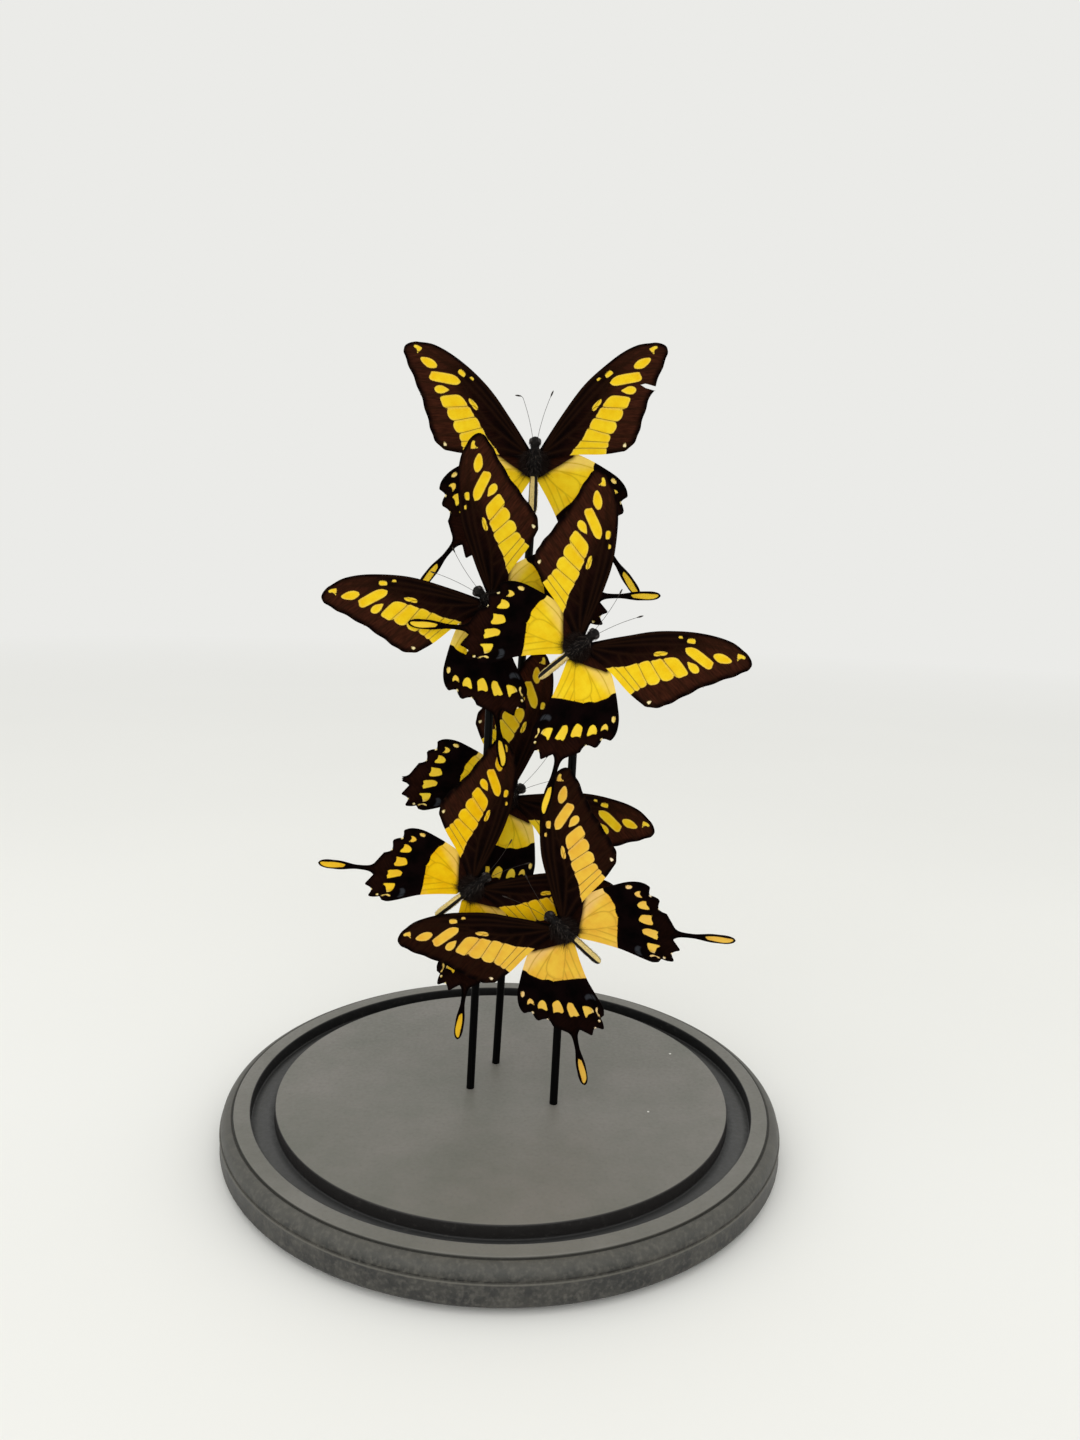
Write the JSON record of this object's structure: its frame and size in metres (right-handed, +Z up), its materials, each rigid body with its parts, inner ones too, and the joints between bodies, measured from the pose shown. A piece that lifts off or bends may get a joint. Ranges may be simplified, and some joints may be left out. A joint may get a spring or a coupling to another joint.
{
  "type": "mounted butterfly display on a grooved round base",
  "caption": "Mounted swallowtail butterflies with spread wings on thin upright rods above a round base with a ring groove for a glass cover.",
  "frame": {"origin": "middle of the base's underside", "axes": "+Z up, the butterflies' backs and the front face -Y, +X to the right seen from the front"},
  "size_m": [0.208, 0.208, 0.2932],
  "materials": {
    "base": "turned wood with a matte grey-brown paint, rubbed dark in the groove and lighter on the moulded edge",
    "rod": "thin steel rod with satin black lacquer",
    "forewing": "dry scaled wing membrane, brown-black with a bright yellow band and spots",
    "hindwing": "dry scaled wing membrane, yellow inner field, black outer field with yellow lunules and a tail",
    "body": "dried body with dense dark hair on the thorax and a yellow stripe along the abdomen",
    "antenna": "fine dark brown stalk with a small club"
  },
  "bodies": {
    "root": {"base": "base", "rod_left": "rod", "rod_rear": "rod", "rod_right": "rod", "top_body": "body", "top_forewing_left": "forewing", "top_hindwing_left": "hindwing", "top_antenna_left": "antenna", "top_forewing_right": "forewing", "top_hindwing_right": "hindwing", "top_antenna_right": "antenna", "upper_left_body": "body", "upper_left_forewing_left": "forewing", "upper_left_hindwing_left": "hindwing", "upper_left_antenna_left": "antenna", "upper_left_forewing_right": "forewing", "upper_left_hindwing_right": "hindwing", "upper_left_antenna_right": "antenna", "upper_right_body": "body", "upper_right_forewing_left": "forewing", "upper_right_hindwing_left": "hindwing", "upper_right_antenna_left": "antenna", "upper_right_forewing_right": "forewing", "upper_right_hindwing_right": "hindwing", "upper_right_antenna_right": "antenna", "middle_body": "body", "middle_forewing_left": "forewing", "middle_hindwing_left": "hindwing", "middle_antenna_left": "antenna", "middle_forewing_right": "forewing", "middle_hindwing_right": "hindwing", "middle_antenna_right": "antenna", "lower_left_body": "body", "lower_left_forewing_left": "forewing", "lower_left_hindwing_left": "hindwing", "lower_left_antenna_left": "antenna", "lower_left_forewing_right": "forewing", "lower_left_hindwing_right": "hindwing", "lower_left_antenna_right": "antenna", "lower_right_body": "body", "lower_right_forewing_left": "forewing", "lower_right_hindwing_left": "hindwing", "lower_right_antenna_left": "antenna", "lower_right_forewing_right": "forewing", "lower_right_hindwing_right": "hindwing", "lower_right_antenna_right": "antenna"}
  },
  "joints": []
}
